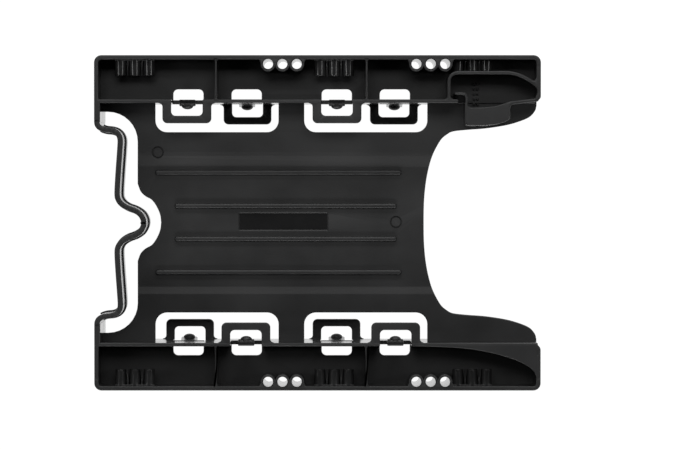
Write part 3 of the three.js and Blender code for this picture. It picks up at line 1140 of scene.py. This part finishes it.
@dataclass
class CentrePlate:
    """The plate that both drives rest on."""

    section: Section
    slot_edge: float = 27.35
    slot_radius: float = 3.5
    slots: tuple[Point, ...] = ((-49.1, -11.8), (-4.0, 33.3))
    mouth: tuple[Point, ...] = (
        (66.4, 35.3),
        (65.9, 33.7),
        (64.1, 31.8),
        (60.4, 30.3),
        (56.5, 29.3),
        (50.8, 28.45),
        (45.5, 28.05),
        (41.1, 27.55),
        (39.2, 26.6),
        (37.4, 25.0),
        (35.4, 21.5),
        (34.1, 18.0),
        (33.0, 13.0),
        (32.35, 7.0),
    )
    rear_gap: tuple[Point, ...] = (
        (-53.6, 9.4),
        (-52.1, 7.9),
        (-50.2, 6.8),
        (-48.7, 4.7),
        (-47.7, 2.3),
    )
    label: tuple[float, float, float, float] = (-23.95, -2.6, 3.35, 3.1)
    label_depth: float = 0.3
    beads: tuple[tuple[float, float, float], ...] = ((15.1, -49.2, 25.5), (5.0, -43.3, 24.1))
    bead_radius: float = 0.8
    step: float = 0.28
    ejector_spots: tuple[Point, ...] = ((-48.4, 21.2), (23.8, 0.1))

    def outline(self) -> list[Point]:
        """The plate's edge.

        Returns:
            The closed edge.
        """
        s = self.section
        wall = s.near + BITE
        mouth = smooth([*mirrored(self.mouth), (32.2, 0.0), *reversed(self.mouth)], 4)
        r = self.slot_radius
        tip = s.near + 1.1
        left: list[Point] = [(66.45, tip), (s.front_inside - 0.4, tip), (s.front_inside - 0.4, wall)]
        for start, end in reversed(self.slots):
            left += [(end, wall)]
            left += arc((end - r, self.slot_edge + r), r, 0, -90)
            left += arc((start + r, self.slot_edge + r), r, -90, -180)
            left += [(start, wall)]
        edge = s.rear_inside
        left += [(edge, wall), (edge, 33.5)]
        left += arc((-63.5, 24.5), 9.0, 90, 0)
        rear = smooth([(-54.5, 11.7), *self.rear_gap, (-47.4, 0.0)], 5)
        half = left + rear
        return mouth + half + mirrored(half[::-1])

    def build(self) -> Solid:
        """The plate with its stepped faces, beads, label panel and mould marks.

        Returns:
            The plate.
        """
        s = self.section
        plate = Solid.loft(self.outline(), rim_levels(s.floor_low, s.floor_high, 0.3))
        upper = self.step_cutter()
        lower = upper.turned_over(s.middle)
        plate.cut(upper, lower)
        plate.join(*self.bead_solids())
        plate.cut(self.label_panel())
        plate.cut(*self.ejector_marks())
        return plate

    def step_cutter(self) -> Solid:
        """Cutter of the upper face's two shallow steps, both down towards the left rail.

        Returns:
            The cutter.
        """
        s = self.section
        top, first, second = (s.floor_high - self.step * i for i in range(3))
        profile = [(-21.9, top), (-21.6, top - 0.03), (-19.7, first + 0.02), (-19.3, first)]
        profile += [(16.6, first), (17.4, first - 0.02), (20.2, second + 0.03), (21.4, second)]
        profile += [(40.0, second), (40.0, top + 1), (-21.9, top + 1)]
        return Solid.loft(profile, [Level(-70, 0), Level(70, 0)], Axis.ALONG)

    def bead_solids(self) -> list[Solid]:
        """The four beads, crowned on both faces of the plate.

        Returns:
            The beads.
        """
        s = self.section
        r = self.bead_radius
        rises = [(0.8, 0.6), (0.76, 0.34), (0.62, 0.16), (0.1, 0.03), (-0.2, 0.0)]
        crown = [Level(s.floor_high + rise, inset) for rise, inset in rises]
        foot = [Level(2 * s.middle - level.height, level.inset) for level in crown]
        made = []
        for y, start, end in self.beads:
            for line in (-y, y):
                capsule = arc((end - r, line), r, -90, 90) + arc((start + r, line), r, 90, 270)
                made.append(Solid.loft(capsule, [*foot, *reversed(crown)]))
        return made

    def label_floor(self) -> float:
        """Height of the label panel's floor."""
        return self.section.floor_high - self.step - self.label_depth

    def label_panel(self) -> Solid:
        """Cutter of the blank recessed panel in the upper face.

        Returns:
            The cutter.
        """
        s = self.section
        x0, y0, x1, y1 = self.label
        corners = [(x0, y0, 0.5), (x1, y0, 0.5), (x1, y1, 0.5), (x0, y1, 0.5)]
        floor = self.label_floor()
        levels = [Level(floor, 0.35), Level(floor + self.label_depth, 0.0), Level(s.floor_high + 2, 0.0)]
        return Solid.loft(rounded(corners), levels)

    def ejector_marks(self) -> list[Solid]:
        """Cutters of the two round marks that ejector pins leave.

        Returns:
            The cutters.
        """
        made = []
        for (x, y), steps in zip(self.ejector_spots, (2, 1)):
            base = self.section.floor_high - steps * self.step
            profile = [(0.0, base - 0.08), (1.4, base - 0.08), (1.52, base - 0.45), (1.82, base - 0.45)]
            profile += [(1.95, base + 1), (0.0, base + 1)]
            made.append(Solid.turned(profile, Vector((x, y, 0)), Axis.UP, sides=40))
        return made


@dataclass
class LatchLever:
    """A latch lever: its flexing arm, the block that stops a drive, and its hook."""

    section: Section

    def build(self) -> Solid:
        """The left rail's lever, rooted in the end wall.

        Returns:
            The lever.
        """
        s = self.section
        root = s.front_inside + 0.6
        arm_far = [(root, 36.45), (root, 37.4), (s.front_inside - 0.9, 37.2), (59.5, 36.6)]
        arm_far += smooth([(58.0, 36.45), (56.2, 35.9), (53.1, 34.95), (48.9, 34.6), (45.7, 34.55)], 4)
        hook = [(45.0, 35.1), (45.0, 37.6)]
        hook += arc((43.55, 37.65), 1.45, 0, 90)
        hook += arc((41.45, 38.74), 0.36, 90, 270)
        hook += arc((43.3, 37.4), 0.98, 90, 0)
        block = [(44.2, 34.0)]
        block += arc((45.3, 30.25), 1.1, 180, 270)
        block += smooth([(50.2, 29.15), (53.9, 29.6), (56.2, 30.3), (57.4, 31.0)], 4)
        block += [(57.7, 31.5), (57.7, 34.4)]
        arm_near = arc((58.9, 34.35), 1.2, 180, 110)
        arm_near += [(59.5, 35.62), (s.front_inside - 0.9, 36.2)]
        outline = arm_far + hook + block + arm_near
        lever = Box.of("left_upper_latch_lever")
        return Solid.loft(outline, rim_levels(lever.low.z, lever.high.z, RIM))


@dataclass
class GripFinger:
    """A sprung finger in the inner wall, with the dome that presses on a drive's side."""

    section: Section
    dome_radius: float = 1.8
    dome_from_tip: float = 1.95
    dome_flattening: float = 0.75
    dome_steps: int = 8

    def build(self, half: Half, place: Place) -> Solid:
        """A finger on the left rail.

        Args:
            half: The half that it is in.
            place: Its place along the rail.

        Returns:
            The finger, rooted in the wall.
        """
        s = self.section
        box = Box.of(f"left_{half.value}_grip_finger_{place.value}")
        sign = half.sign
        root = s.face(half)
        tip = box.high.z if half is Half.UPPER else box.low.z
        profile = [
            (s.far, root - BITE * sign),
            (s.far, tip),
            (s.far - 0.55, tip),
            (s.near - 0.5, tip - 0.9 * sign),
            (s.near - 0.75, tip - 1.7 * sign),
            (s.near, root + 1.2 * sign),
            (s.near, root - BITE * sign),
        ]
        blade = Solid.loft(profile, rim_levels(box.low.x, box.high.x, 0.25), Axis.ALONG)
        return blade.join(self.dome(box, tip - self.dome_from_tip * sign))

    def dome(self, box: Box, height: float) -> Solid:
        """The oval dome on a finger.

        Args:
            box: The box of the finger's CAD node.
            height: Height of the dome's centre.

        Returns:
            The dome, sunk into the finger.
        """
        base = self.section.near - 0.6
        rise = base - box.low.y
        curve = [(0.0, box.low.y)]
        for i in range(1, self.dome_steps + 1):
            angle = math.pi / 2 * i / self.dome_steps
            curve.append((self.dome_radius * math.sin(angle), base - rise * math.cos(angle)))
        curve += [(self.dome_radius, base + 0.6), (0.0, base + 0.6)]
        dome = Solid.turned(curve, Vector((box.centre.x, 0, 0)), Axis.ACROSS, sides=28)
        dome.object.data.transform(Matrix.Diagonal((1, 1, self.dome_flattening, 1)))
        dome.object.data.transform(Matrix.Translation((0, 0, height * MM)))
        return dome


@dataclass
class RearSpring:
    """Half of the full-height band across the rear end."""

    section: Section
    thickness: float = 1.65
    rib: float = 0.45
    rib_end: float = 28.7
    line: tuple[Point, ...] = (
        (-66.0, 31.0),
        (-66.0, 29.7),
        (-65.25, 28.6),
        (-63.7, 28.0),
        (-61.6, 27.75),
        (-60.0, 26.95),
        (-59.1, 25.2),
        (-59.2, 21.7),
        (-59.65, 15.5),
        (-60.0, 9.0),
        (-59.65, 7.0),
        (-58.6, 5.6),
        (-56.9, 4.55),
        (-54.9, 3.8),
        (-53.2, 2.7),
        (-52.3, 1.3),
        (-52.05, 0.0),
    )

    def build(self) -> Solid:
        """The left half, from the end wall to the tip of the V.

        Returns:
            The half.
        """
        s = self.section
        whole = [*self.line, *mirrored(reversed(self.line[:-1]))]
        line = smooth(whole, 4)
        half = [*line[: len(line) // 2 + 1], (line[len(line) // 2][0], -0.01)]
        band = Solid.loft(ribbon(half, self.thickness), rim_levels(0, s.height, RIM))
        ribbed = [point for point in half if point[1] < self.rib_end]
        outline = ribbon(ribbed, self.thickness + 2 * self.rib)
        return band.join(Solid.loft(outline, rim_levels(s.floor_low, s.floor_high, 0.15)))


@dataclass
class Bracket:
    """The whole bracket."""

    section: Section = field(default_factory=Section.from_frame)
    latch_bend: float = 4.4
    finger_bend: float = 2.5
    spring_bend: Point = (29.5, 6.5)

    def build(self) -> None:
        """Builds every piece; only the moulding is put on a body, the root."""
        self.build_moulding()
        self.build_latches()
        self.build_fingers()
        self.build_spring()

    def place(self, piece: bpy.types.Object, nodes: Sequence[str], body: str) -> None:
        """Lets a piece stand for CAD nodes.

        Args:
            piece: The piece.
            nodes: The CAD nodes that it stands for.
            body: The body that it rides on; the piece is attached only when this is the root body.
        """
        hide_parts(*nodes)
        if body == ROOT:
            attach(piece, body)
        LOG.info("%s: %d faces, for %d CAD nodes", piece.name, len(piece.data.polygons), len(nodes))

    def build_moulding(self) -> None:
        """The fixed moulding: both rails and the plate in one mesh."""
        left = Rail(self.section).build()
        right = left.turned_over(self.section.middle)
        body = CentrePlate(self.section).build().join(left, right)
        piece = body.finish("moulding", MOULDED)
        self.polish_and_shade_label(piece)
        self.polish_tubes(piece)
        self.place(piece, frame["record"]["behaviour"]["bodies"][ROOT], ROOT)

    def turned_for(self, solid: Solid, side: Side) -> Solid:
        """A solid of the left rail, turned over if it is for the right one.

        Args:
            solid: The solid, as it is on the left rail.
            side: The rail that it is for.

        Returns:
            The solid to use.
        """
        if side is Side.LEFT:
            return solid
        turned = solid.turned_over(self.section.middle)
        bpy.data.objects.remove(solid.object)
        return turned

    def polish_and_shade_label(self, piece: bpy.types.Object) -> None:
        """Gives the floor of the label panel its smoother finish and a darker colour, which is painted shade.

        Args:
            piece: The moulding.
        """
        piece.data.materials.append(POLISHED_SHADED.material())
        polished_shaded = len(piece.data.materials) - 1
        plate = CentrePlate(self.section)
        x0, y0, x1, y1 = plate.label
        floor = plate.label_floor()
        for face in piece.data.polygons:
            x, y, z = face.center / MM
            if x0 < x < x1 and y0 < y < y1 and abs(z - floor) < 0.05:
                face.material_index = polished_shaded

    def polish_tubes(self, piece: bpy.types.Object) -> None:
        """Gives the round side screw tubes their glossy finish.

        Args:
            piece: The moulding.
        """
        piece.data.materials.append(GLOSSY.material())
        glossy = len(piece.data.materials) - 1
        inside = self.section.wall_inside - 0.25
        boxes = [*tube_boxes(Side.LEFT), *tube_boxes(Side.RIGHT)]
        for face in piece.data.polygons:
            spot = face.center / MM
            if abs(spot.y) < inside and any(box.holds(spot) for box in boxes):
                face.material_index = glossy

    def build_latches(self) -> None:
        """Both latch levers, rooted in the end walls."""
        s = self.section
        for side, half in ((Side.LEFT, Half.UPPER), (Side.RIGHT, Half.LOWER)):
            name = f"{side.value}_{half.value}_latch_lever"
            solid = self.turned_for(LatchLever(s).build(), side)
            piece = solid.finish(f"{name}_moulded", MOULDED)
            self.place(piece, [name], name)
            y = Box.of(name).centre.y
            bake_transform(piece)

    def build_fingers(self) -> None:
        """The eight grip fingers, rooted in the inner walls."""
        s = self.section
        for half in Half:
            for place in ENDS:
                for side in Side:
                    own = half if side is Side.LEFT else half.other
                    name = f"{side.value}_{own.value}_grip_finger_{place.value}"
                    solid = self.turned_for(GripFinger(s).build(half, place), side)
                    piece = solid.finish(f"{name}_moulded", MOULDED)
                    self.place(piece, [name], name)
                    x, y = Box.of(name).centre.xy
                    root = s.face(own)
                    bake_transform(piece)

    def build_spring(self) -> None:
        """Both halves of the rear spring, between the end walls and the V."""
        s = self.section
        name = "rear_spring"
        for side, sign in ((Side.LEFT, 1), (Side.RIGHT, -1)):
            solid = self.turned_for(RearSpring(s).build(), side)
            piece = solid.finish(f"{name}_{side.value}_half", MOULDED)
            self.place(piece, [name] if side is Side.LEFT else [], name)
            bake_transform(piece)


# ---- Studio ----


@dataclass(frozen=True)
class Softbox:
    """A large soft light: where it stands and its size, in metres, and its power."""

    name: str
    place: tuple[float, float, float]
    size: tuple[float, float]
    watts: float

    def build(self) -> None:
        """Makes the light, aimed at the bracket."""
        data = bpy.data.lights.new(self.name, "AREA")
        data.shape = "RECTANGLE"
        data.size, data.size_y = self.size
        data.energy = self.watts
        light = bpy.data.objects.new(self.name, data)
        light.location = self.place
        light.rotation_euler = Vector(self.place).to_track_quat("Z", "Y").to_euler()
        bpy.context.scene.collection.objects.link(light)


@dataclass
class Studio:
    """A pale lit floor, soft light from the sides, and a camera straight above."""

    section: Section
    camera_distance: float = 1000.0
    camera_lean: float = 0.85
    lens: float = 178.1
    shift: Point = (0.0297, -0.003)
    softboxes: tuple[Softbox, ...] = (
        Softbox("softbox_overhead", (0.0, 0.42, 1.12), (0.7, 0.3), 1.7),
        Softbox("softbox_front", (0.9, 0.1, 0.9), (0.12, 0.5), 0.9),
        Softbox("softbox_rear", (-0.9, 0.1, 0.9), (0.12, 0.5), 1.1),
        Softbox("softbox_low_left", (0.0, 1.1, 0.62), (1.2, 0.25), 7.0),
        Softbox("softbox_low_right", (0.0, -1.1, 0.62), (1.2, 0.25), 7.0),
    )

    def build(self) -> None:
        """Makes the floor, the lights and the camera."""
        self.build_floor()
        for softbox in self.softboxes:
            softbox.build()
        world = bpy.data.worlds.new("studio")
        world.use_nodes = True
        background = world.node_tree.nodes["Background"]
        background.inputs["Color"].default_value = (0.8, 0.8, 0.8, 1)
        background.inputs["Strength"].default_value = 0.01
        bpy.context.scene.world = world
        bpy.context.scene.view_settings.view_transform = "Standard"
        self.build_camera()

    def build_floor(self) -> None:
        """The pale floor, which glows like a light table."""
        material = bpy.data.materials.new("light_table")
        material.use_nodes = True
        shader = material.node_tree.nodes["Principled BSDF"]
        shader.inputs["Base Color"].default_value = (0.1, 0.1, 0.1, 1)
        shader.inputs["Roughness"].default_value = 0.9
        shader.inputs["Emission Color"].default_value = (1, 1, 1, 1)
        shader.inputs["Emission Strength"].default_value = 1.0
        shape = bmesh.new()
        bmesh.ops.create_grid(shape, x_segments=1, y_segments=1, size=1.2)
        mesh = bpy.data.meshes.new("studio_floor")
        shape.to_mesh(mesh)
        shape.free()
        mesh.materials.append(material)
        floor = bpy.data.objects.new("studio_floor", mesh)
        floor.location.z = -0.0003
        bpy.context.scene.collection.objects.link(floor)

    def build_camera(self) -> None:
        """The camera, looking almost straight down on the upper rims."""
        data = bpy.data.cameras.new("camera")
        data.lens = self.lens
        data.sensor_width = 36
        data.shift_x, data.shift_y = self.shift
        camera = bpy.data.objects.new("camera", data)
        lean = math.radians(self.camera_lean)
        away = Vector((0, math.sin(lean), math.cos(lean))) * self.camera_distance
        camera.location = (Vector((0, 0, self.section.height)) + away) * MM
        camera.rotation_euler = (-lean, 0, 0)
        bpy.context.scene.collection.objects.link(camera)
        bpy.context.scene.camera = camera


def main() -> None:
    """Builds the bracket and the studio around it."""
    logging.basicConfig(level=logging.INFO, format="%(name)s: %(message)s")
    bracket = Bracket()
    bracket.build()
    Studio(bracket.section).build()


if __name__ == "__main__":
    main()
